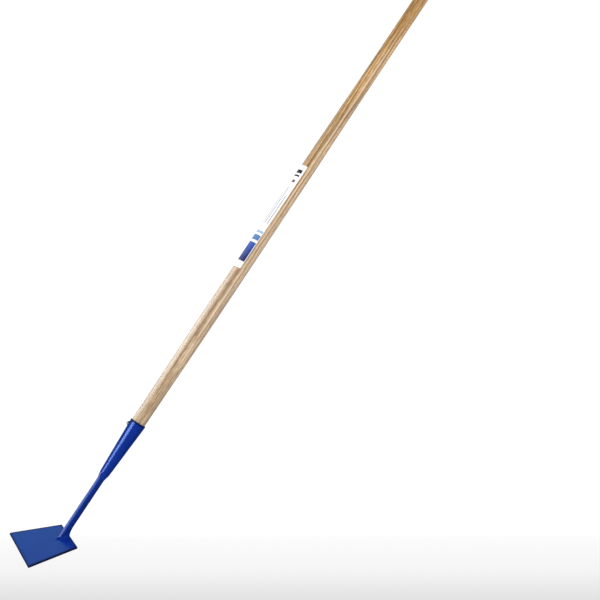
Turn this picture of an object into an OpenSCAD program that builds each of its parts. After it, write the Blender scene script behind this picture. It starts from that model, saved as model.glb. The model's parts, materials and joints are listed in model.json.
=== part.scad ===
// Dutch hoe: a flat push-hoe blade on a bar neck, with a wooden handle in a tapered socket.
// The sole of the blade lies on z = 0, and the origin is where the handle's axis meets the sole.
// The cutting edge faces -X, and the handle rises towards +X.

/* [Blade] */
// Width along the cutting edge
blade_front_w = 132; // [100:1:180]
// Width along the rear edge
blade_rear_w = 94; // [70:1:130]
// Length from the cutting edge to the rear edge
blade_len = 84.5; // [60:0.5:110]
// Thickness of the plate
blade_t = 3; // [2.5:0.1:5]
// Length of the ground bevel behind the cutting edge
bevel_len = 5; // [3:0.5:20]
// Thickness left at the cutting edge
edge_t = 2.4; // [0.3:0.1:2.9]
// Radius of the two front corners
front_corner_r = 1; // [0.5:0.5:8]
// Radius of the two rear corners
rear_corner_r = 0.5; // [0.5:0.5:10]

/* [Neck] */
// Angle between the blade and the handle
lift_angle = 50; // [40:1:65]
// Diameter of the bar
neck_d = 12.5; // [10:0.5:14]
// Length of the bar from the blade's upper face to the socket
neck_len = 126; // [70:1:180]
// Distance from the blade's rear edge to the bar's axis, on the upper face
foot_inset = 12.7; // [11:0.1:25]
// Length of the bar inside the socket
neck_seat_len = 20; // [12:1:24]

/* [Welds] */
// Spread of the foot weld over the blade, in front of the bar
foot_weld_leg = 3; // [2:0.5:8]
// Spread of the foot weld over the blade, behind the bar
foot_weld_back_leg = 7; // [3:0.5:10]
// Climb of the foot weld up the front of the bar
foot_weld_rise = 4; // [2:0.5:12]
// Climb of the foot weld up the underside of the bar
foot_weld_back_rise = 18; // [6:0.5:24]
// Fullness of the foot weld's face: 0 is a deep hollow and 1 is flat
foot_weld_fill = 0.45; // [0:0.05:0.9]
// Length of the weld bead that closes the socket on the bar
socket_weld_len = 11; // [4:0.5:16]

/* [Socket] */
// Length from the small end to the mouth
socket_len = 102; // [80:1:150]
// Outside diameter at the small end
socket_small_d = 17.8; // [16.5:0.1:22]
// Outside diameter at the mouth
socket_mouth_d = 29.2; // [26:0.1:32]
// Wall of the tapered part
socket_wall = 1.8; // [1.2:0.1:2.4]

/* [Handle] */
// Length of the whole shaft
handle_len = 1370; // [1150:5:1800]
// Gap between the bar's seat in the socket and the shaft's tip
tip_gap = 6; // [1:0.5:30]
// Diameter of the swelled part
swell_d = 28; // [26:0.5:36]
// Diameter of the straight grip
grip_d = 25; // [22:0.5:27.5]
// Height of the swell's lower end above the socket's mouth
swell_from = 220; // [150:5:330]
// Height of the swell's upper end above the socket's mouth
swell_to = 370; // [350:5:500]
// Height above the socket's mouth where the straight grip starts
grip_from = 830; // [700:5:950]
// Radius that rounds the top end
end_r = 9; // [3:0.5:10.5]

/* [Fixing screw] */
// Distance from the socket's mouth to the screw
screw_from_mouth = 9.5; // [7:0.5:25]
// Turn of the screw round the socket, from the front towards +Y
screw_turn = 20; // [-90:5:90]
// Diameter of the round head
screw_head_d = 8; // [6.5:0.5:9.5]
// Height of the round head
screw_head_h = 3; // [2:0.1:3.5]
// Diameter of the shank
screw_shank_d = 4; // [3:0.5:5]
// Length of the shank below the head
screw_len = 20; // [12:1:22]
// Depth of the cross recess in the head
recess_depth = 1.4; // [0.5:0.1:1.6]

/* [Label] */
// Height of the label's lower edge above the socket's mouth
label_from = 322; // [150:1:600]
// Length of the label along the handle
label_len = 225; // [100:1:300]
// Wrap of the label round the handle in degrees
label_wrap = 165; // [60:5:330]
// Turn of the label's middle round the handle, from the front towards +Y
label_turn = 27; // [-180:1:180]
// Thickness of the label
label_t = 0.2; // [0.1:0.05:0.4]

/* [Fits] */
// Gap between the bar and the socket or the welds round it
bar_fit = 0.05; // [0.02:0.01:0.2]
// Gap between the shaft and the socket's bore
handle_fit = 0.1; // [0.05:0.01:0.3]
// Gap round the screw, under its head and round its shank
screw_fit = 0.05; // [0.02:0.01:0.2]
// Gap between the label and the wood, taken up by its glue
label_fit = 0.1; // [0.05:0.01:0.2]

/* [Hidden] */
$fn = 96;

enamel_blue = [0.06, 0.16, 0.55];
weld_blue = [0.05, 0.13, 0.46];
ash_wood = [0.80, 0.66, 0.47];
bare_steel = [0.72, 0.73, 0.74];
label_white = [0.92, 0.94, 0.97];

// Small sizes of construction
corner_steps = 6;
cut_over = 1;
weld_lip = 0.3;
weld_steps = 60;
weld_curve_steps = 7;
mouth_chamfer = 0.4;
seat_flare_len = 3;
tip_chamfer = 1.5;
handle_steps = 14;
end_steps = 8;
label_steps = 10;
pilot_depth_over = 1;
screw_point_len = 5;
screw_point_d = 1;
recess_w = 1.1;
recess_share = 0.62;

// Places along the handle's axis, from the origin
foot_at = blade_t / sin(lift_angle);
socket_at = foot_at + neck_len;
mouth_at = socket_at + socket_len;
handle_depth = socket_len - neck_seat_len - seat_flare_len - tip_gap;
tip_at = mouth_at - handle_depth;

// The blade's ends in X
foot_x = blade_t / tan(lift_angle);
rear_x = foot_x + foot_inset;
front_x = rear_x - blade_len;

function unit(v) = v / norm(v);
function mix(a, b, t) = a + (b - a) * t;
function ease(t) = (1 - cos(180 * t)) / 2;

// Points of an arc of radius r that rounds the corner p between its neighbours
function corner_arc(p, before, after, r) =
    let (
        a = unit(before - p),
        b = unit(after - p),
        half = acos(a * b) / 2,
        centre = p + unit(a + b) * r / sin(half),
        start = p + a * r / tan(half) - centre,
        turn = 180 - 2 * half
    )
    [for (i = [0:corner_steps])
        let (w = turn * i / corner_steps)
        centre + [start.x * cos(w) - start.y * sin(w), start.x * sin(w) + start.y * cos(w)]];

// Outside radius of the socket at height z above its small end, and the bore of its tapered part
function socket_r(z) = mix(socket_small_d, socket_mouth_d, z / socket_len) / 2;
function bore_r(z) = socket_r(z) - socket_wall;

// Radius of the shaft at height h above the socket's mouth
mouth_r = bore_r(socket_len) - handle_fit;
function shaft_r(h) =
    h < swell_from ? mix(mouth_r, swell_d / 2, ease(h / swell_from)) :
    h < swell_to ? swell_d / 2 :
    h < grip_from ? mix(swell_d, grip_d, ease((h - swell_to) / (grip_from - swell_to))) / 2 :
    grip_d / 2;

// A frame along the handle: local +Z runs up the handle, local -X faces the front
module on_axis(at) {
    rotate([0, 90 - lift_angle, 0])
        translate([0, 0, at])
            children();
}

// The screw's frame: local +Z points out of the socket from the handle's axis
module on_screw() {
    on_axis(mouth_at - screw_from_mouth)
        rotate([0, 0, 180 - screw_turn])
            rotate([0, 90, 0])
                children();
}

module blade_outline() {
    corners = [
        [front_x, -blade_front_w / 2],
        [rear_x, -blade_rear_w / 2],
        [rear_x, blade_rear_w / 2],
        [front_x, blade_front_w / 2]
    ];
    radii = [front_corner_r, rear_corner_r, rear_corner_r, front_corner_r];
    polygon([for (i = [0:3])
        each corner_arc(corners[i], corners[(i + 3) % 4], corners[(i + 1) % 4], radii[i])]);
}

module blade() {
    slope = (blade_t - edge_t) / bevel_len;
    color(enamel_blue)
        difference() {
            linear_extrude(blade_t) blade_outline();
            rotate([90, 0, 0])
                linear_extrude(blade_front_w + 2 * cut_over, center = true)
                    polygon([
                        [front_x - cut_over, edge_t - slope * cut_over],
                        [front_x + bevel_len + cut_over, blade_t + slope * cut_over],
                        [front_x - cut_over, blade_t + slope * cut_over]
                    ]);
        }
}

// One section of the foot weld at angle w round the bar, where 0 is the underside:
// the root on the blade, the toe, the hollow face up to the bar, and the top against the bar
function foot_weld_section(w) =
    let (
        r = neck_d / 2 + bar_fit,
        along = [cos(lift_angle), 0, sin(lift_angle)],
        out = [sin(lift_angle) * cos(w), sin(w), -cos(lift_angle) * cos(w)],
        root = along * (blade_t + r * cos(w) * cos(lift_angle)) / sin(lift_angle) + out * r,
        spread = unit([cos(w) * sin(lift_angle), sin(w), 0]),
        back = (1 + cos(w)) / 2,
        reach = root + spread * mix(foot_weld_leg, foot_weld_back_leg, back * back),
        toe = [min(reach.x, rear_x - weld_lip), reach.y, blade_t],
        top = root + along * mix(foot_weld_rise, foot_weld_back_rise, back * back),
        lip_up = [0, 0, weld_lip],
        lip_out = out * weld_lip,
        hollow = mix(root + lip_up + lip_out, (toe + top) / 2, foot_weld_fill),
        face = [for (i = [0:weld_curve_steps])
            let (t = i / weld_curve_steps)
            (toe + lip_up) * (1 - t) * (1 - t)
                + hollow * 2 * t * (1 - t)
                + (top + lip_out) * t * t]
    )
    concat([root, toe], face, [top]);

module foot_weld() {
    sections = [for (i = [0:weld_steps - 1]) foot_weld_section(360 * i / weld_steps)];
    count = len(sections[0]);
    faces = [for (i = [0:weld_steps - 1], k = [0:count - 1])
        let (
            next_i = (i + 1) % weld_steps,
            next_k = (k + 1) % count,
            a = i * count + k,
            b = next_i * count + k,
            c = next_i * count + next_k,
            d = i * count + next_k
        )
        each [[a, b, c], [a, c, d]]];
    color(weld_blue)
        polyhedron([for (section = sections) each section], faces);
}

module neck() {
    below = neck_d + foot_at;
    bar_len = neck_len + neck_seat_len;
    color(enamel_blue)
        difference() {
            on_axis(foot_at - below) cylinder(h = bar_len + below, d = neck_d);
            translate([0, 0, blade_t - 2 * below])
                cube([8 * below, 8 * below, 4 * below], center = true);
        }
}

module socket_weld() {
    inner_r = neck_d / 2 + bar_fit;
    color(weld_blue)
        on_axis(socket_at - socket_weld_len)
            rotate_extrude()
                polygon([
                    [inner_r, 0],
                    [inner_r + weld_lip, 0],
                    [socket_small_d / 2, socket_weld_len - weld_lip],
                    [socket_small_d / 2, socket_weld_len],
                    [inner_r, socket_weld_len]
                ]);
}

// The socket's solid outside, thickened by grow
module socket_outside(grow) {
    on_axis(socket_at)
        cylinder(h = socket_len, r1 = socket_small_d / 2 + grow, r2 = socket_mouth_d / 2 + grow);
}

module socket() {
    seat_r = neck_d / 2 + bar_fit;
    flare_z = neck_seat_len + seat_flare_len;
    color(enamel_blue)
        difference() {
            on_axis(socket_at)
                rotate_extrude()
                    polygon([
                        [seat_r, 0],
                        [socket_small_d / 2, 0],
                        [socket_r(socket_len - mouth_chamfer), socket_len - mouth_chamfer],
                        [socket_mouth_d / 2 - mouth_chamfer, socket_len],
                        [bore_r(socket_len), socket_len],
                        [bore_r(flare_z), flare_z],
                        [seat_r, neck_seat_len]
                    ]);
            on_screw() cylinder(h = socket_mouth_d, d = screw_shank_d + 2 * screw_fit);
        }
}

module handle() {
    tip_z = socket_len - handle_depth;
    tip_r = bore_r(tip_z) - handle_fit;
    head_len = handle_len - handle_depth;
    tenon = [
        [0, 0],
        [tip_r - tip_chamfer, 0],
        [bore_r(tip_z + tip_chamfer) - handle_fit, tip_chamfer]
    ];
    rise = [for (i = [0:handle_steps]) swell_from * i / handle_steps];
    fall = [for (i = [0:handle_steps]) mix(swell_to, grip_from, i / handle_steps)];
    body = [for (h = concat(rise, fall)) [shaft_r(h), handle_depth + h]];
    round_end = [for (i = [0:end_steps])
        let (w = 90 * i / end_steps)
        [grip_d / 2 - end_r + end_r * cos(w), handle_depth + head_len - end_r + end_r * sin(w)]];
    color(ash_wood)
        difference() {
            on_axis(tip_at) rotate_extrude() polygon(concat(tenon, body, round_end, [[0, handle_len]]));
            on_screw()
                translate([0, 0, screw_seat_r() - screw_len - pilot_depth_over])
                    cylinder(h = screw_len + socket_mouth_d, d = screw_shank_d + 2 * screw_fit);
        }
}

// Distance from the handle's axis to the socket's outside under the screw's head
function screw_seat_r() = socket_r(socket_len - screw_from_mouth);

module screw_head() {
    ball_r = (screw_head_d * screw_head_d / 4 + screw_head_h * screw_head_h) / (2 * screw_head_h);
    skirt = screw_head_d / 4;
    difference() {
        on_screw()
            intersection() {
                translate([0, 0, screw_seat_r() + screw_head_h - ball_r]) sphere(r = ball_r);
                translate([0, 0, screw_seat_r() - skirt])
                    cylinder(h = screw_head_h + 2 * skirt, d = screw_head_d);
            }
        socket_outside(screw_fit);
        for (turn = [0, 90])
            on_screw()
                rotate([0, 0, turn])
                    translate([0, 0, screw_seat_r() + screw_head_h])
                        cube([recess_share * screw_head_d, recess_w, 2 * recess_depth], center = true);
    }
}

module fixing_screw() {
    shank_top = screw_seat_r() + screw_head_h - recess_depth - screw_head_h / 4;
    tip = screw_seat_r() - screw_len;
    color(bare_steel) {
        screw_head();
        on_screw() {
            translate([0, 0, tip + screw_point_len])
                cylinder(h = shank_top - tip - screw_point_len, d = screw_shank_d);
            translate([0, 0, tip])
                cylinder(h = screw_point_len, d1 = screw_point_d, d2 = screw_shank_d);
        }
    }
}

module label() {
    heights = [for (i = [0:label_steps]) label_from + label_len * i / label_steps];
    inside = [for (h = heights) [shaft_r(h) + label_fit, h]];
    outside = [for (i = [label_steps:-1:0]) inside[i] + [label_t, 0]];
    color(label_white)
        on_axis(mouth_at)
            rotate([0, 0, 180 - label_turn - label_wrap / 2])
                rotate_extrude(angle = label_wrap) polygon(concat(inside, outside));
}

blade();
foot_weld();
neck();
socket_weld();
socket();
handle();
fixing_screw();
label();
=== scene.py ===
"""Dutch hoe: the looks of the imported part, with a camera at the photograph's viewing angle."""

import json
import math

import bmesh
import bpy
from mathutils import Matrix, Vector, noise


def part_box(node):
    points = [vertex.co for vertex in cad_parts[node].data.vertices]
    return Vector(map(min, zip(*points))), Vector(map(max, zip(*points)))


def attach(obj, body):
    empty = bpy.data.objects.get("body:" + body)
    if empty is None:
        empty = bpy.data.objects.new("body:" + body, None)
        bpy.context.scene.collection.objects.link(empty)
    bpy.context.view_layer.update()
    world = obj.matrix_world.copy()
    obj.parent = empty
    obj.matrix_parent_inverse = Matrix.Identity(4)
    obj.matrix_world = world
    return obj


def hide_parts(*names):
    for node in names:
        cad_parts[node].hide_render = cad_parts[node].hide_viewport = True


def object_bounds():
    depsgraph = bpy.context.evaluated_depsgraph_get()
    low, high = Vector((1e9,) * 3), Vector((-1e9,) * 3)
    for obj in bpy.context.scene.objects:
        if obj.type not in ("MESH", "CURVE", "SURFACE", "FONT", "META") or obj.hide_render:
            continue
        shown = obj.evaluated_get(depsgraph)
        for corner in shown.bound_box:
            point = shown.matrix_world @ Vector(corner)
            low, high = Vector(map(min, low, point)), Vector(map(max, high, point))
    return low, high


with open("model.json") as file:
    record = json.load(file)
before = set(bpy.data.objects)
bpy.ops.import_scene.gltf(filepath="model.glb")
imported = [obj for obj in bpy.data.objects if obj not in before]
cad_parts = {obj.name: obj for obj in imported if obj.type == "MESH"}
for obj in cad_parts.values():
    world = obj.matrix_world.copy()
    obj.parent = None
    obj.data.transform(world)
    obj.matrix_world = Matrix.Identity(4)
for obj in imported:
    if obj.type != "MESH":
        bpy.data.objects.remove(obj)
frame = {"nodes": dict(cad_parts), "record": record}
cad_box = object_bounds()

MM = 0.001

# Steps of the meshes
LATHE_SEGMENTS = 96
EDGE_STEPS = 6
BLADE_CORNER_STEPS = 8
NECK_STEPS = 40
WELD_STEPS = 144
WELD_FACE_STEPS = 14
BEAD_STEPS = 12
SOCKET_STEPS = 30
RIM_STEPS = 8
HANDLE_RING_STEP = 8 * MM
LABEL_STEP_ACROSS = 1.2 * MM
LABEL_STEP_ALONG = 8 * MM
STAGE_SEGMENTS = 64

# Sizes of the surface detail, in metres
EDGE_ROUND = 0.45 * MM
WELD_RIPPLE = 0.05 * MM
WELD_RIPPLE_PITCH = 2.4 * MM

# The stage, whose floor is turned a little from the camera's heading
STAGE_RADIUS = 12.0
FLOOR_GAP = 0.1 * MM
FLOOR_SKEW = math.radians(-1.88)

# The camera of the photograph: place, heading from +Y towards +X, dip, roll and lens
CAMERA_AT = Vector((-0.3101, -1.3219, 0.6859))
CAMERA_HEADING = math.radians(30.871)
CAMERA_DIP = math.radians(12.177)
CAMERA_ROLL = math.radians(-1.017)
CAMERA_LENS = 50.0
CAMERA_SENSOR = 36.0
CAMERA_CLIP_END = 200

# The handle's frame: x to the underside, y sideways and z up the axis
mounts = {mount["name"]: mount for mount in frame["record"]["mounts"]}
AXIS = Vector(mounts["grip"]["axis"]).normalized()
UNDERSIDE = Vector((AXIS.z, 0, -AXIS.x))
SIDEWAYS = Vector((0, 1, 0))
UP = Vector((0, 0, 1))
HANDLE_FRAME = Matrix((UNDERSIDE, SIDEWAYS, AXIS)).transposed().to_4x4()
TO_HANDLE = HANDLE_FRAME.inverted()


def mix(a, b, t):
    """The value at a share of the way from a to b."""
    return a + (b - a) * t


def full_turn(count):
    """Angles spaced evenly round a circle."""
    return [2 * math.pi * k / count for k in range(count)]


def on_circle(radius, angle, z):
    """A point round the handle's axis, in the handle's frame."""
    return (radius * math.cos(angle), radius * math.sin(angle), z)


def srgb(red, green, blue):
    """A linear colour with full alpha from 8-bit display values."""
    def linear(value):
        value /= 255
        return value / 12.92 if value <= 0.04045 else ((value + 0.055) / 1.055) ** 2.4
    return (linear(red), linear(green), linear(blue), 1.0)


def grey(value):
    """A linear grey with full alpha."""
    return (value, value, value, 1.0)


# Measuring the CAD nodes

def handle_points(node):
    """The vertices of a CAD node, in the handle's frame."""
    return [TO_HANDLE @ vertex.co for vertex in frame["nodes"][node].data.vertices]


def rings(node):
    """(distance along the handle's axis, radius) of each full ring of vertices of a round CAD node."""
    decimals, least_count = 5, 16
    found = {}
    for point in handle_points(node):
        found.setdefault(round(point.z, decimals), []).append(math.hypot(point.x, point.y))
    return [(z, max(radii)) for z, radii in sorted(found.items()) if len(radii) > least_count]


SHAFT = rings("handle")
BAR_END, BAR_RADIUS = rings("neck")[-1]
BLADE_LOW, BLADE_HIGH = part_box("blade")


def shaft_radius(z):
    """Radius of the shaft at a distance along the axis."""
    for (z0, r0), (z1, r1) in zip(SHAFT, SHAFT[1:]):
        if z0 <= z <= z1:
            return mix(r0, r1, (z - z0) / (z1 - z0))
    return SHAFT[-1][1]


def smooth_profile(points, step):
    """The profile with extra points on a cubic curve through it, about one step apart."""
    slopes = []
    for i in range(len(points)):
        before, after = points[max(i - 1, 0)], points[min(i + 1, len(points) - 1)]
        slopes.append((after[1] - before[1]) / (after[0] - before[0]))
    out = []
    for (z0, r0), (z1, r1), m0, m1 in zip(points, points[1:], slopes, slopes[1:]):
        run = z1 - z0
        count = max(1, round(run / step))
        for k in range(count):
            t = k / count
            h0, h1 = 2 * t**3 - 3 * t**2 + 1, 3 * t**2 - 2 * t**3
            g0, g1 = t**3 - 2 * t**2 + t, t**3 - t**2
            out.append((z0 + run * t, h0 * r0 + h1 * r1 + run * (g0 * m0 + g1 * m1)))
    return out + [points[-1]]


# Making meshes

def add_piece(name, mesh, material, node, placed=True):
    """An object that stands for a CAD node. A placed mesh is given in the handle's frame."""
    mesh.materials.append(material)
    piece = bpy.data.objects.new(name, mesh)
    bpy.context.scene.collection.objects.link(piece)
    if placed:
        piece.matrix_world = HANDLE_FRAME
    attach(piece, "root")
    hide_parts(node)


def finish_mesh(bm, name, sharp_degrees=35):
    """A smooth mesh with its normals outwards, and with sharp edges above an angle."""
    bmesh.ops.recalc_face_normals(bm, faces=bm.faces)
    mesh = bpy.data.meshes.new(name)
    bm.to_mesh(mesh)
    bm.free()
    mesh.shade_smooth()
    mesh.set_sharp_from_angle(angle=math.radians(sharp_degrees))
    return mesh


def loft(bm, sections, closed_profile):
    """Faces between rings of points. Each ring closes on itself, and so may the profile."""
    grid = [[bm.verts.new(point) for point in section] for section in sections]
    rows = len(grid)
    for i in range(rows if closed_profile else rows - 1):
        low, high = grid[i], grid[(i + 1) % rows]
        for k in range(len(low)):
            after = (k + 1) % len(low)
            bm.faces.new((low[k], low[after], high[after], high[k]))
    return grid


def cap_ends(bm, grid):
    """Flat faces on the first and the last ring of a loft."""
    bm.faces.new(reversed(grid[0]))
    bm.faces.new(grid[-1])


def lathe(name, profile, closed_profile=False, wobble=lambda angle, z: 0):
    """A mesh turned about the handle's axis from (distance, radius) pairs, with a wobble of its radius."""
    angles = full_turn(LATHE_SEGMENTS)
    sections = [[on_circle(radius + wobble(a, z), a, z) for a in angles] for z, radius in profile]
    bm = bmesh.new()
    grid = loft(bm, sections, closed_profile)
    if not closed_profile:
        cap_ends(bm, grid)
    return finish_mesh(bm, name)


# Node trees

class Shader:
    """A material's node tree, with short calls to add, set and link its nodes."""

    def __init__(self, name):
        self.material = bpy.data.materials.new(name)
        self.material.use_nodes = True
        self.tree = self.material.node_tree
        self.surface = self.tree.nodes["Principled BSDF"]

    def add(self, kind, **settings):
        node = self.tree.nodes.new("ShaderNode" + kind)
        for key, value in settings.items():
            setattr(node, key, value)
        return node

    def feed(self, socket, value):
        """Link another node's socket to this one, or set its value."""
        if isinstance(value, bpy.types.NodeSocket):
            self.tree.links.new(value, socket)
        else:
            socket.default_value = value

    def set(self, **values):
        """Feed sockets of the surface, whose names have spaces for underscores."""
        for key, value in values.items():
            self.feed(self.surface.inputs[key.replace("_", " ")], value)

    def math(self, operation, a, b=0.0):
        node = self.add("Math", operation=operation)
        self.feed(node.inputs[0], a)
        self.feed(node.inputs[1], b)
        return node.outputs[0]

    def plus(self, a, b):
        return self.math("ADD", a, b)

    def minus(self, a, b):
        return self.math("SUBTRACT", a, b)

    def times(self, a, b):
        return self.math("MULTIPLY", a, b)

    def dot(self, x, y, along):
        """The part of (x, y) along a direction."""
        return self.plus(self.times(x, along.x), self.times(y, along.y))

    def place(self, scale=(1, 1, 1), offset=(0, 0, 0)):
        """Object coordinates, scaled and then moved."""
        mapping = self.add("Mapping")
        self.feed(mapping.inputs["Vector"], self.add("TexCoord").outputs["Object"])
        mapping.inputs["Scale"].default_value = scale
        mapping.inputs["Location"].default_value = offset
        return mapping.outputs["Vector"]

    def axes(self):
        """The object coordinates x, y and z."""
        split = self.add("SeparateXYZ")
        self.feed(split.inputs[0], self.place())
        return split.outputs

    def noise(self, vector, scale, detail):
        node = self.add("TexNoise")
        self.feed(node.inputs["Vector"], vector)
        node.inputs["Scale"].default_value = scale
        node.inputs["Detail"].default_value = detail
        return node.outputs["Fac"]

    def grain(self, scale, detail=2, offset=(0, 0, 0)):
        """Noise with its own scale along each axis."""
        return self.noise(self.place(scale, offset), 1, detail)

    def span(self, value, low, high, to_low=0.0, to_high=1.0):
        """A value taken evenly, and no further, from one range to another."""
        node = self.add("MapRange")
        self.feed(node.inputs["Value"], value)
        node.inputs["From Min"].default_value = low
        node.inputs["From Max"].default_value = high
        node.inputs["To Min"].default_value = to_low
        node.inputs["To Max"].default_value = to_high
        return node.outputs["Result"]

    def ramp(self, value, stops):
        """A grey that follows (position, tone) stops."""
        node = self.add("ValToRGB")
        self.feed(node.inputs["Fac"], value)
        elements = node.color_ramp.elements
        while len(elements) < len(stops):
            elements.new(0.5)
        for element, (position, tone) in zip(elements, stops):
            element.position = position
            element.color = grey(tone)
        return node.outputs["Color"]

    def blend(self, factor, a, b, kind="MIX"):
        node = self.add("Mix", data_type="RGBA", blend_type=kind)
        self.feed(node.inputs["Factor"], factor)
        self.feed(node.inputs["A"], a)
        self.feed(node.inputs["B"], b)
        return node.outputs["Result"]

    def tint(self, colour, by):
        return self.blend(1.0, colour, by, "MULTIPLY")

    def bump(self, height, distance, strength, under=None):
        """A normal that follows a height, on top of another normal if one is given."""
        node = self.add("Bump")
        self.feed(node.inputs["Height"], height)
        node.inputs["Distance"].default_value = distance
        node.inputs["Strength"].default_value = strength
        if under is not None:
            self.feed(node.inputs["Normal"], under)
        return node.outputs["Normal"]


# Materials

def blue_enamel():
    """Glossy blue paint on steel, with orange peel. It is darker and duller where the mesh is marked dark,
    which is painted shade.
    """
    shader = Shader("blue_enamel")
    at = shader.place()
    patches = shader.noise(at, 22, 3)
    specks = shader.noise(at, 700, 2)
    peel = shader.noise(at, 260, 2)
    paint = shader.blend(shader.span(patches, 0.35, 0.65), srgb(2, 36, 129), srgb(5, 42, 138))
    # The dark marks are painted shade: the blade's edges, the weld's crease, the undersides of the bar and
    # the socket, and the socket's lip.
    dark = shader.span(shader.add("Attribute", attribute_name="dark").outputs["Fac"], 0, 0.75)
    painted_shade = shader.times(dark, shader.span(specks, 0.3, 0.7, 0.8, 1.0))
    shader.set(Base_Color=shader.blend(painted_shade, paint, srgb(3, 12, 52)))
    gloss = shader.span(patches, 0.3, 0.7, 0.24, 0.28)
    shader.set(Roughness=shader.plus(gloss, shader.times(dark, 0.12)))
    shader.set(Specular_IOR_Level=shader.span(dark, 0, 1, 0.5, 0.15))
    shader.set(Specular_Tint=(0.30, 0.50, 1.0, 1.0))
    shader.set(Normal=shader.bump(peel, 0.02 * MM, 0.3))
    return shader.material


def growth_rings(shader, x, y, z):
    """Tone of the rings about a pith that runs outside the shaft, clearer in some places than in others."""
    pith = Vector((0.0115, 0.054))
    lean = Vector((0.003, 0.012))
    ring_width = 2.8 * MM
    dull = grey(0.6)
    sway = shader.span(shader.grain((16, 16, 2.0)), 0, 1, -5 * MM, 5 * MM)
    waver = shader.span(shader.grain((80, 80, 3.0)), 0, 1, -1 * MM, 1 * MM)
    dx = shader.minus(shader.minus(x, pith.x), shader.times(z, lean.x))
    dy = shader.minus(shader.minus(y, pith.y), shader.times(z, lean.y))
    square = shader.plus(shader.times(dx, dx), shader.times(dy, dy))
    radius = shader.plus(shader.math("SQRT", square), shader.plus(sway, waver))
    season = shader.math("FRACT", shader.math("DIVIDE", radius, ring_width))
    ring = shader.ramp(season, [(0.0, 0.55), (0.10, 0.0), (0.30, 0.30), (0.48, 0.85), (0.90, 1.0)])
    clear = shader.grain((25, 25, 5), offset=(1, 6, 2))
    return shader.blend(shader.span(clear, 0.35, 0.65, 0.35, 1.0), dull, ring)


def grain_line_and_painted_highlight(shader, colour, x, y, z):
    """The colour with a pale line, which is a painted highlight, beside a dark grain line, up one side of the
    shaft.
    """
    side = Vector((-0.218, -0.976))
    core = 0.4 * MM
    # A painted highlight: the pale line stands for a streak of light on the varnish.
    painted_highlight_line = (0.4 * MM, 2.2 * MM, srgb(246, 224, 196))
    dark_line = (-2.6 * MM, 1.4 * MM, srgb(128, 92, 58))
    bend = shader.span(shader.grain((0, 0, 6), 1), 0, 1, -2 * MM, 2 * MM)
    across = shader.minus(shader.dot(x, y, Vector((side.y, -side.x))), bend)
    strength = shader.span(shader.grain((0, 0, 4), 1, (0, 0, 9)), 0.35, 0.6, 0.15, 0.75)
    strength = shader.times(strength, shader.span(shader.dot(x, y, side), 0, 4 * MM))
    strength = shader.times(strength, shader.span(z, 0.33, 0.48))
    strength = shader.times(strength, shader.span(z, 1.0, 1.12, 1, 0.2))
    for offset, reach, line in (painted_highlight_line, dark_line):
        away = shader.math("ABSOLUTE", shader.minus(across, offset))
        near = shader.span(away, core, reach, 1, 0)
        colour = shader.blend(shader.times(strength, near), colour, line)
    return colour


def ash_wood():
    """Varnished ash: rings, streaks, pores, flecks, long grain lines and a painted highlight line, yellower
    upwards, with painted shade on the underside near the socket.
    """
    shader = Shader("ash_wood")
    x, y, z = shader.axes()
    fibres = shader.grain((520, 520, 5), 3)
    streaks = shader.grain((150, 150, 1.8), 3)
    pores = shader.grain((1200, 1200, 12), 1)
    ridges = shader.grain((340, 340, 8), offset=(2, 7, 3))
    flecks = shader.grain((430, 430, 95), offset=(4, 8, 6))
    tone = shader.grain((60, 60, 1.6), offset=(5, 2, 1))
    warmth = shader.grain((110, 110, 2.4), offset=(3, 1, 4))
    height = shader.span(z, 0.5, 0.95)
    early = shader.blend(height, srgb(156, 128, 94), srgb(160, 117, 62))
    late = shader.blend(height, srgb(210, 188, 157), srgb(228, 188, 126))
    rosy = shader.blend(height, srgb(206, 174, 146), srgb(216, 172, 118))
    hollow = shader.blend(height, (0.76, 0.72, 0.66, 1), (0.60, 0.55, 0.47, 1))
    crest = shader.blend(height, grey(1.08), grey(1.16))
    colour = shader.blend(growth_rings(shader, x, y, z), early, late)
    # Stains as a pattern, its range, the greatest strength and the colour
    for pattern, low, high, most, stain in (
        (warmth, 0.45, 0.65, 0.5, rosy),
        (fibres, 0.35, 0.70, 0.3, srgb(178, 144, 106)),
        (streaks, 0.54, 0.70, 0.6, srgb(138, 104, 70)),
        (pores, 0.60, 0.72, 0.3, srgb(120, 88, 58)),
    ):
        colour = shader.blend(shader.span(pattern, low, high, 0, most), colour, stain)
    # Shading as a pattern, its range and the tints at both ends
    for pattern, low, high, darker, paler in (
        (tone, 0.35, 0.65, (0.86, 0.84, 0.80, 1), (1.06, 1.05, 1.03, 1)),
        (ridges, 0.36, 0.60, hollow, crest),
        (flecks, 0.38, 0.62, (0.84, 0.81, 0.77, 1), (1.14, 1.14, 1.13, 1)),
    ):
        colour = shader.tint(colour, shader.blend(shader.span(pattern, low, high), darker, paler))
    colour = grain_line_and_painted_highlight(shader, colour, x, y, z)
    upper = shader.blend(shader.span(z, 1.03, 1.12), grey(1), (0.92, 0.84, 0.57, 1))
    colour = shader.tint(colour, upper)
    # Painted shade: the underside of the shaft is darker near the socket.
    painted_shade_near_socket = shader.times(shader.span(x, 3 * MM, 12 * MM), shader.span(z, 0.26, 0.36, 1, 0))
    shader.set(Base_Color=shader.blend(painted_shade_near_socket, colour, srgb(150, 122, 92)))
    shader.set(Roughness=shader.span(fibres, 0.3, 0.7, 0.5, 0.6))
    shader.set(Specular_IOR_Level=0.2)
    shader.set(Coat_Weight=1.0)
    shader.set(Coat_Roughness=0.45)
    normal = shader.bump(pores, -0.03 * MM, 0.2)
    shader.set(Normal=shader.bump(fibres, 0.03 * MM, 0.2, normal))
    return shader.material


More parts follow.
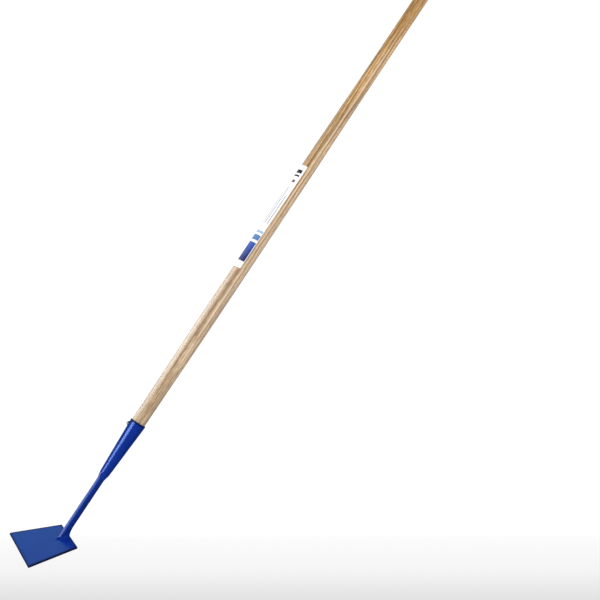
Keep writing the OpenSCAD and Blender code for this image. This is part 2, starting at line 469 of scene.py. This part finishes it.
def screw_steel():
    """Dull zinc on a small round head."""
    shader = Shader("screw_steel")
    grain = shader.noise(shader.place(), 900, 3)
    zinc = shader.blend(shader.span(grain, 0.3, 0.7), srgb(70, 84, 86), srgb(104, 118, 118))
    shader.set(Base_Color=zinc)
    shader.set(Metallic=0.6)
    shader.set(Roughness=shader.span(grain, 0.3, 0.7, 0.26, 0.42))
    shader.set(Normal=shader.bump(grain, 0.02 * MM, 0.4))
    return shader.material


def label_paper():
    """A printed sticker: inks held on the mesh, with a faint paper grain and a semi-gloss face."""
    shader = Shader("label_paper")
    ink = shader.add("Attribute", attribute_name="ink").outputs["Color"]
    mottle = shader.noise(shader.place(), 600, 3)
    paper = shader.blend(shader.span(mottle, 0.3, 0.7), grey(0.97), grey(1))
    shader.set(Base_Color=shader.tint(ink, paper))
    shader.set(Roughness=shader.span(mottle, 0.3, 0.7, 0.42, 0.5))
    shader.set(Specular_IOR_Level=0.2)
    shader.set(Normal=shader.bump(mottle, 0.01 * MM, 0.2))
    return shader.material


# The blade

def rounded_outline(corners, radii):
    """Points of a polygon whose corners are arcs."""
    points = []
    for i, (corner, radius) in enumerate(zip(corners, radii)):
        a = (corners[i - 1] - corner).normalized()
        b = (corners[(i + 1) % len(corners)] - corner).normalized()
        half = a.angle(b) / 2
        centre = corner + (a + b).normalized() * radius / math.sin(half)
        start = corner + a * radius / math.tan(half) - centre
        turn = math.pi - 2 * half
        for k in range(BLADE_CORNER_STEPS + 1):
            points.append(centre + start @ Matrix.Rotation(-turn * k / BLADE_CORNER_STEPS, 2))
    return points


def make_blade(material):
    """The plate with a ground front, softened edges and painted shade: darker paint along its edges."""
    low, high = Vector(BLADE_LOW), Vector(BLADE_HIGH)
    # Sizes that the box doesn't give: half widths, corners, bevel, and borders where the painted shade along
    # the edges fades
    front_half, rear_half = 66 * MM, 47 * MM
    front_round, rear_round, least_round = 1 * MM, 0.5 * MM, 0.1 * MM
    bevel_run, edge_thickness = 5 * MM, 2.4 * MM
    front_border, side_border, rear_border = 2 * MM, 5 * MM, 3.6 * MM
    narrowing = (front_half - rear_half) / (high.x - low.x)
    bevel_slope = (high.z - low.z - edge_thickness) / bevel_run
    bevel_end = low.x + bevel_run
    arc_points = BLADE_CORNER_STEPS + 1

    def half_width(x, inset):
        return front_half - narrowing * (x - low.x) - inset * math.hypot(1, narrowing)

    def top(x):
        return min(high.z, low.z + edge_thickness + bevel_slope * (x - low.x))

    def ring(height, front_inset, sides, rear_inset):
        """Points round the plate, moved in from its edges."""
        front, rear = low.x + front_inset, high.x - rear_inset
        corners = [
            Vector((front, -half_width(front, sides))),
            Vector((rear, -half_width(rear, sides))),
            Vector((rear, half_width(rear, sides))),
            Vector((front, half_width(front, sides))),
        ]
        front_arc = max(front_round - front_inset, least_round)
        rear_arc = max(rear_round - rear_inset, least_round)
        outline = rounded_outline(corners, [front_arc, rear_arc, rear_arc, front_arc])
        outline.insert(3 * arc_points, Vector((bevel_end, half_width(bevel_end, sides))))
        outline.insert(arc_points, Vector((bevel_end, -half_width(bevel_end, sides))))
        return [(point.x, point.y, height(point.x)) for point in outline]

    quarter = [math.pi / 2 * k / EDGE_STEPS for k in range(EDGE_STEPS + 1)]
    insets = [EDGE_ROUND + border for border in (front_border, side_border, rear_border)]
    sections = [ring(lambda x: low.z, *insets)]
    for angle in quarter:
        inset, rise = EDGE_ROUND * (1 - math.sin(angle)), EDGE_ROUND * (1 - math.cos(angle))
        sections.append(ring(lambda x: low.z + rise, inset, inset, inset))
    for angle in quarter:
        inset, fall = EDGE_ROUND * (1 - math.cos(angle)), EDGE_ROUND * (1 - math.sin(angle))
        sections.append(ring(lambda x: top(x) - fall, inset, inset, inset))
    sections.append(ring(top, *insets))
    bm = bmesh.new()
    dark = bm.verts.layers.float.new("dark")
    grid = loft(bm, sections, closed_profile=False)
    # Painted shade: the rounded edges are marked dark, fading across the borders.
    for section in grid[1:-1]:
        for vertex in section:
            vertex[dark] = 1.0
    left, right = arc_points, 3 * arc_points + 1
    bm.faces.new(reversed(grid[0]))
    bm.faces.new(grid[-1][left:right + 1])
    bm.faces.new(grid[-1][right:] + grid[-1][:left + 1])
    mesh = finish_mesh(bm, "blade_plate", sharp_degrees=5)
    add_piece("blade_plate", mesh, material, "blade", placed=False)


# The neck, the socket and their welds

def foot_height(angle):
    """Distance along the axis at which the bar's side meets the top of the blade."""
    return (BLADE_HIGH[2] + BAR_RADIUS * math.cos(angle) * AXIS.x) / AXIS.z


def ripple(run, share):
    """Height of a weld's ripples at a run along the bead, strongest at the middle of its face."""
    wave = math.cos(2 * math.pi * run / WELD_RIPPLE_PITCH)
    return WELD_RIPPLE * wave * math.sin(math.pi * share) ** 2


def darken_underside(mesh, least, most):
    """Mark the paint of a round piece as darker towards its underside, as painted shade. Gives the marks."""
    marks = mesh.attributes.new("dark", "FLOAT", "POINT")
    for vertex, mark in zip(mesh.vertices, marks.data):
        under = (1 + vertex.co.x / math.hypot(vertex.co.x, vertex.co.y)) / 2
        mark.value = mix(least, most, under**2)
    return marks


def make_neck(material):
    """The round bar, cut to lie on the blade and reaching into the socket."""
    chamfer = 0.8 * MM
    lump, lumps_along = 0.07 * MM, 60
    angles = full_turn(LATHE_SEGMENTS)
    sections = []
    for i in range(NECK_STEPS + 1):
        share = i / NECK_STEPS
        ring = []
        for angle in angles:
            z = mix(foot_height(angle), BAR_END - chamfer, share)
            uneven = lump * noise.noise(Vector((math.cos(angle), math.sin(angle), z * lumps_along)))
            ring.append(on_circle(BAR_RADIUS + uneven * math.sin(math.pi * share), angle, z))
        sections.append(ring)
    sections.append([on_circle(BAR_RADIUS - chamfer, angle, BAR_END) for angle in angles])
    bm = bmesh.new()
    cap_ends(bm, loft(bm, sections, closed_profile=False))
    mesh = finish_mesh(bm, "neck_bar")
    # Painted shade: the bar's paint is darker towards its underside.
    darken_underside(mesh, least=0.15, most=0.5)
    add_piece("neck_bar", mesh, material, "neck")


def make_foot_weld(material):
    """The hollow fillet round the bar's foot, with faint ripples under the paint."""
    leg, back_leg = 3 * MM, 7 * MM
    rise, back_rise = 4 * MM, 18 * MM
    fill, lip = 0.45, 0.12 * MM
    # Painted shade in the crease: darkest at the weld's root and toe, fading up its face.
    toe_dark, dark_step = 0.6, 0.15
    rear, top_face = BLADE_HIGH[0], BLADE_HIGH[2]
    sections = []
    run = 0.0
    last_root = None
    for angle in full_turn(WELD_STEPS):
        out = UNDERSIDE * math.cos(angle) + SIDEWAYS * math.sin(angle)
        root = AXIS * foot_height(angle) + out * BAR_RADIUS
        spread = Vector((math.cos(angle) * AXIS.z, math.sin(angle), 0)).normalized()
        run += (root - last_root).length if last_root else 0.0
        last_root = root
        back = ((1 + math.cos(angle)) / 2) ** 2
        reach = root + spread * mix(leg, back_leg, back)
        toe = Vector((min(reach.x, rear - EDGE_ROUND), reach.y, top_face))
        top = root + AXIS * mix(rise, back_rise, back)
        hollow = mix(root + (UP + out) * lip, (toe + top) / 2, fill)
        section = [root, toe]
        for k in range(WELD_FACE_STEPS + 1):
            t = k / WELD_FACE_STEPS
            face = ((toe + UP * lip) * (1 - t) ** 2
                    + hollow * 2 * t * (1 - t)
                    + (top + out * lip) * t**2)
            section.append(face + (UP + out).normalized() * ripple(run, t))
        sections.append(section + [top])
    bm = bmesh.new()
    dark = bm.verts.layers.float.new("dark")
    for section in loft(bm, sections, closed_profile=True):
        for k, vertex in enumerate(section):
            vertex[dark] = max(0.0, toe_dark - dark_step * k)
    mesh = finish_mesh(bm, "foot_weld_bead", sharp_degrees=50)
    add_piece("foot_weld_bead", mesh, material, "foot_weld", placed=False)


def make_socket_weld(material):
    """The bead that closes the socket's small end on the bar."""
    bead = rings("socket_weld")
    low = bead[0][0]
    high, socket_radius = bead[-1]
    lip, slant = 0.15 * MM, 0.7
    profile = [(low, BAR_RADIUS)]
    for k in range(BEAD_STEPS + 1):
        t = k / BEAD_STEPS
        profile.append((mix(low, high, t), mix(BAR_RADIUS + lip, socket_radius, t)))
    profile.append((high, BAR_RADIUS))

    def wobble(angle, z):
        return ripple(angle * socket_radius + slant * (z - low), (z - low) / (high - low))

    mesh = lathe("socket_weld_bead", profile, closed_profile=True, wobble=wobble)
    add_piece("socket_weld_bead", mesh, material, "socket_weld")


def make_socket(material):
    """The tapered tube with a rounded lip at its mouth, with painted shade darkening its underside and, most
    of all, its lip.
    """
    shell = rings("socket")
    small_z, small_r = shell[0]
    mouth_z = shell[-1][0]
    slope = (shell[-2][1] - small_r) / (shell[-2][0] - small_z)
    wall, flare, rim_band = 1.8 * MM, 3 * MM, 1.5 * MM
    dent, dents_round, dents_along = 0.05 * MM, 1.5, 45
    lip = wall / 2

    def outer(z):
        return small_r + slope * (z - small_z)

    def wobble(angle, z):
        return dent * noise.noise(Vector(on_circle(dents_round, angle, z * dents_along)))

    profile = []
    for i in range(SOCKET_STEPS + 1):
        z = mix(small_z, mouth_z - lip, i / SOCKET_STEPS)
        profile.append((z, outer(z)))
    for i in range(1, RIM_STEPS):
        angle = math.pi * i / RIM_STEPS
        profile.append((mouth_z - lip + lip * math.sin(angle), outer(mouth_z) - lip + lip * math.cos(angle)))
    for z in (mouth_z - lip, BAR_END + flare):
        profile.append((z, outer(z) - wall))
    profile += [(BAR_END, BAR_RADIUS), (small_z, BAR_RADIUS)]
    mesh = lathe("socket_tube", profile, closed_profile=True, wobble=wobble)
    # Painted shade: darker towards the underside, and darkest on the lip at the mouth.
    marks = darken_underside(mesh, least=0.0, most=0.45)
    for vertex, mark in zip(mesh.vertices, marks.data):
        if vertex.co.z > mouth_z - rim_band:
            mark.value = 1.0
    add_piece("socket_tube", mesh, material, "socket")


def dress_screw(material):
    """The screw keeps its CAD mesh."""
    materials = frame["nodes"]["fixing_screw"].data.materials
    materials.clear()
    materials.append(material)


# The handle and its label

def make_handle(material):
    """The turned shaft, drawn along a smooth curve through the CAD profile."""
    mesh = lathe("handle_shaft", smooth_profile(SHAFT, HANDLE_RING_STEP))
    add_piece("handle_shaft", mesh, material, "handle")


# Inks of the label
WHITE = srgb(249, 250, 252)
SKY = srgb(80, 124, 180)
PALE = srgb(150, 182, 224)
BLUE = srgb(34, 82, 176)
NAVY = srgb(15, 23, 92)
GREY = srgb(168, 170, 178)
DARK = srgb(44, 46, 54)
BROWN = srgb(120, 78, 74)


def label_design():
    """Inked rectangles as (across from, to, along from, to, ink at the start, ink at the end), in shares."""
    inks = [
        (0.02, 0.98, 0.060, 0.240, NAVY, BLUE),
        (0.02, 0.98, 0.262, 0.310, SKY, SKY),
        (0.02, 0.98, 0.330, 0.350, PALE, PALE),
        (0.14, 0.30, 0.830, 0.855, BROWN, BROWN),
        (0.09, 0.91, 0.890, 0.905, DARK, DARK),
        (0.09, 0.91, 0.922, 0.955, DARK, DARK),
    ]
    rules, rule_width = 6, 0.05
    first_rule, after_rules = 0.08, 0.92
    rule_start, short_end, long_end = 0.42, 0.70, 0.78
    for i in range(rules):
        start = mix(first_rule, after_rules, i / rules)
        end = long_end if i % 2 else short_end
        inks.append((start, start + rule_width, rule_start, end, GREY, GREY))
    return inks


def ink_at(inks, u, v, along):
    """The ink of a face with its middle at (u, v), for a corner some share along the label."""
    colour = WHITE
    for u0, u1, v0, v1, start, end in inks:
        if u0 < u < u1 and v0 < v < v1:
            t = (along - v0) / (v1 - v0)
            colour = [mix(a, b, t) for a, b in zip(start, end)]
    return colour


def fill_in(edges, step):
    """Sorted edges with more between them, so that no gap is wider than a step."""
    edges = sorted(set(edges))
    out = []
    for a, b in zip(edges, edges[1:]):
        count = max(1, math.ceil((b - a) / step))
        out += [mix(a, b, k / count) for k in range(count)]
    return out + [edges[-1]]


def border(grid):
    """The vertices round the edge of a grid, in order."""
    left = [row[0] for row in grid]
    right = [row[-1] for row in reversed(grid[:-1])]
    return left + grid[-1][1:] + right + grid[0][-2:0:-1]


def make_label(material):
    """The sticker: a thin sheet round the shaft whose faces carry the inks of a plain design."""
    points = handle_points("label")
    low, high = min(p.z for p in points), max(p.z for p in points)
    angles = [math.atan2(p.y, p.x) % (2 * math.pi) for p in points]
    first, last = min(angles), max(angles)
    lifts = [math.hypot(p.x, p.y) - shaft_radius(p.z) for p in points]
    inks = label_design()
    width = (last - first) * shaft_radius(low)
    across = fill_in([0, 1] + [edge for ink in inks for edge in ink[:2]], LABEL_STEP_ACROSS / width)
    along = fill_in([0, 1] + [edge for ink in inks for edge in ink[2:4]], LABEL_STEP_ALONG / (high - low))
    bm = bmesh.new()
    paint = bm.loops.layers.float_color.new("ink")
    layers = []
    for lift in (min(lifts), max(lifts)):
        grid = []
        for v in along:
            z = mix(low, high, v)
            radius = shaft_radius(z) + lift
            grid.append([bm.verts.new(on_circle(radius, mix(last, first, u), z)) for u in across])
        layers.append(grid)
    for grid in layers:
        for i in range(len(along) - 1):
            for k in range(len(across) - 1):
                face = bm.faces.new((grid[i][k], grid[i + 1][k], grid[i + 1][k + 1], grid[i][k + 1]))
                u = (across[k] + across[k + 1]) / 2
                v = (along[i] + along[i + 1]) / 2
                for loop, row in zip(face.loops, (i, i + 1, i + 1, i)):
                    loop[paint] = ink_at(inks, u, v, along[row])
    inner, outer = (border(grid) for grid in layers)
    for k in range(len(inner)):
        face = bm.faces.new((inner[k - 1], inner[k], outer[k], outer[k - 1]))
        for loop in face.loops:
            loop[paint] = WHITE
    mesh = finish_mesh(bm, "label_sheet")
    add_piece("label_sheet", mesh, material, "label")


# The studio

def emit(shader, strength):
    """Make a stage surface that mostly glows, so that it stays pale under any light."""
    shader.set(Base_Color=grey(0.06))
    shader.set(Roughness=0.9)
    shader.set(Specular_IOR_Level=0.0)
    shader.set(Emission_Color=grey(1))
    shader.set(Emission_Strength=strength)
    return shader.material


def add_stage(name, mesh, material):
    """A stage object that the camera alone sees: the lights do the lighting."""
    mesh.materials.append(material)
    stage = bpy.data.objects.new(name, mesh)
    stage.visible_diffuse = False
    stage.visible_glossy = False
    stage.visible_shadow = False
    bpy.context.scene.collection.objects.link(stage)
    return stage


def make_floor():
    """A plain white floor that glows, with a soft band of painted shade in front of the object."""
    tones = [(-0.8, 1.0), (-0.5, 0.92), (-0.25, 0.73), (-0.19, 0.68), (-0.1, 0.85), (0.0, 0.91), (0.04, 1.0)]
    near, far = tones[0][0], tones[-1][0]
    centre, fade_start, fade_end = Vector((0.4, -0.15, 0)), 0.6, 1.4
    shader = Shader("studio_floor")
    depth = shader.span(shader.axes()["Y"], near, far)
    # Painted shade: a darker band across the glowing floor in front of the object.
    band = shader.ramp(depth, [((at - near) / (far - near), tone) for at, tone in tones])
    away = shader.add("VectorMath", operation="LENGTH")
    shader.feed(away.inputs[0], shader.place(offset=-centre))
    glow = shader.blend(shader.span(away.outputs["Value"], fade_start, fade_end), band, grey(1))
    bm = bmesh.new()
    bmesh.ops.create_circle(bm, cap_ends=True, segments=STAGE_SEGMENTS, radius=STAGE_RADIUS)
    floor = add_stage("studio_floor", finish_mesh(bm, "studio_floor"), emit(shader, glow))
    floor.location.z = cad_box[0][2] - FLOOR_GAP
    floor.rotation_euler.z = -CAMERA_HEADING + FLOOR_SKEW


def make_backdrop():
    """A white dome that the floor runs into."""
    below = -0.01
    bm = bmesh.new()
    bmesh.ops.create_uvsphere(
        bm, u_segments=STAGE_SEGMENTS, v_segments=STAGE_SEGMENTS // 2, radius=STAGE_RADIUS)
    low = [vertex for vertex in bm.verts if vertex.co.z < below]
    bmesh.ops.delete(bm, geom=low, context="VERTS")
    bmesh.ops.reverse_faces(bm, faces=bm.faces)
    mesh = bpy.data.meshes.new("studio_backdrop")
    bm.to_mesh(mesh)
    bm.free()
    mesh.shade_smooth()
    add_stage("studio_backdrop", mesh, emit(Shader("studio_backdrop"), 1.0))


def add_panel(name, place, target, width, height, watts, colour, pieces):
    """A light that shows in the gloss of some pieces. It faces a target, its height along the handle."""
    light = bpy.data.lights.new(name, "AREA")
    light.shape = "RECTANGLE"
    light.size = width
    light.size_y = height
    light.energy = watts
    light.color = colour
    back = (Vector(place) - Vector(target)).normalized()
    side = AXIS.cross(back).normalized()
    turn = Matrix((side, back.cross(side), back)).transposed().to_4x4()
    holder = bpy.data.objects.new(name, light)
    holder.matrix_world = Matrix.Translation(place) @ turn
    holder.visible_camera = False
    holder.visible_diffuse = False
    lit = bpy.data.collections.new(name)
    for piece in pieces:
        lit.objects.link(bpy.data.objects[piece])
    holder.light_linking.receiver_collection = lit
    bpy.context.scene.collection.objects.link(holder)


def light_studio():
    """Panels for streaks on the head and the shaft, a floor-like bounce and a warm edge on the shaft."""
    tube = ["socket_tube", "socket_weld_bead", "fixing_screw"]
    neck = ["neck_bar"]
    shaft = ["handle_shaft", "label_sheet"]
    white, warm = (1, 1, 1), (0.75, 0.52, 0.30)
    add_panel("tube_key", (-0.942, -0.083, 0.763), (-0.013, 0, -0.015), 0.76, 0.28, 13.4, white, tube)
    add_panel("neck_key", (-0.946, 0.393, 0.637), (-0.077, 0, -0.092), 2.3, 1.0, 36, white, neck)
    add_panel("back_key", (-1.02, 0.64, 0.10), (0, 0, 0.06), 0.4, 0.5, 9, white, tube + neck)
    add_panel("shaft_key", (-0.546, 0.584, 0.980), (0.257, 0, 0.306), 1.45, 0.7, 27, white, shaft)
    add_panel("shaft_fill", (1.413, -0.704, 0.241), (0.514, 0, 0.613), 0.8, 1.1, 11, white, shaft)
    add_panel("shaft_rim", (1.80, 2.10, 0.12), (0.55, 0, 0.65), 3.0, 3.0, 30, warm, shaft)


def add_glow(tree, colour, towards, cosines, strengths):
    """A background that changes evenly in strength with the cosine of the angle to a direction."""
    facing = tree.nodes.new("ShaderNodeVectorMath")
    facing.operation = "DOT_PRODUCT"
    tree.links.new(tree.nodes.new("ShaderNodeTexCoord").outputs["Generated"], facing.inputs[0])
    facing.inputs[1].default_value = Vector(towards).normalized()
    span = tree.nodes.new("ShaderNodeMapRange")
    tree.links.new(facing.outputs["Value"], span.inputs["Value"])
    span.inputs["From Min"].default_value, span.inputs["From Max"].default_value = cosines
    span.inputs["To Min"].default_value, span.inputs["To Max"].default_value = strengths
    glow = tree.nodes.new("ShaderNodeBackground")
    glow.inputs["Color"].default_value = colour
    tree.links.new(span.outputs["Result"], glow.inputs["Strength"])
    return glow.outputs[0]


def make_world():
    """Soft white light, strongest from the viewer's left. Gloss sees a cool room behind and a pale ground."""
    world = bpy.data.worlds.new("studio")
    world.use_nodes = True
    world.cycles.sampling_method = "NONE"
    tree = world.node_tree
    viewers_left = (-0.51, -0.75, 0.427)
    behind = (math.sin(CAMERA_HEADING), math.cos(CAMERA_HEADING), 0)
    soft = add_glow(tree, grey(1), viewers_left, (-1, 1), (0.36, 1.43))
    room = add_glow(tree, (0.36, 0.72, 1.0, 1), behind, (0.45, 0.85), (0, 0.95))
    ground = add_glow(tree, grey(1), -AXIS, (0.4, 0.8), (0, 0.9))
    gloss = tree.nodes.new("ShaderNodeAddShader")
    tree.links.new(room, gloss.inputs[0])
    tree.links.new(ground, gloss.inputs[1])
    either = tree.nodes.new("ShaderNodeMixShader")
    tree.links.new(tree.nodes.new("ShaderNodeLightPath").outputs["Is Glossy Ray"], either.inputs[0])
    tree.links.new(soft, either.inputs[1])
    tree.links.new(gloss.outputs[0], either.inputs[2])
    tree.links.new(either.outputs[0], tree.nodes["World Output"].inputs["Surface"])
    bpy.context.scene.world = world


def place_camera():
    """The camera at the photograph's viewing angle."""
    forward = Vector((
        math.sin(CAMERA_HEADING) * math.cos(CAMERA_DIP),
        math.cos(CAMERA_HEADING) * math.cos(CAMERA_DIP),
        -math.sin(CAMERA_DIP)))
    level = Vector((math.cos(CAMERA_HEADING), -math.sin(CAMERA_HEADING), 0))
    above = level.cross(forward)
    right = level * math.cos(CAMERA_ROLL) + above * math.sin(CAMERA_ROLL)
    up = above * math.cos(CAMERA_ROLL) - level * math.sin(CAMERA_ROLL)
    lens = bpy.data.cameras.new("camera")
    lens.lens = CAMERA_LENS
    lens.sensor_width = CAMERA_SENSOR
    lens.clip_end = CAMERA_CLIP_END
    camera = bpy.data.objects.new("camera", lens)
    camera.matrix_world = Matrix.Translation(CAMERA_AT) @ Matrix((right, up, -forward)).transposed().to_4x4()
    bpy.context.scene.collection.objects.link(camera)
    bpy.context.scene.camera = camera


enamel = blue_enamel()
make_blade(enamel)
make_neck(enamel)
make_foot_weld(enamel)
make_socket_weld(enamel)
make_socket(enamel)
make_handle(ash_wood())
make_label(label_paper())
dress_screw(screw_steel())
make_floor()
make_backdrop()
make_world()
light_studio()
place_camera()
bpy.context.scene.view_settings.view_transform = "Standard"
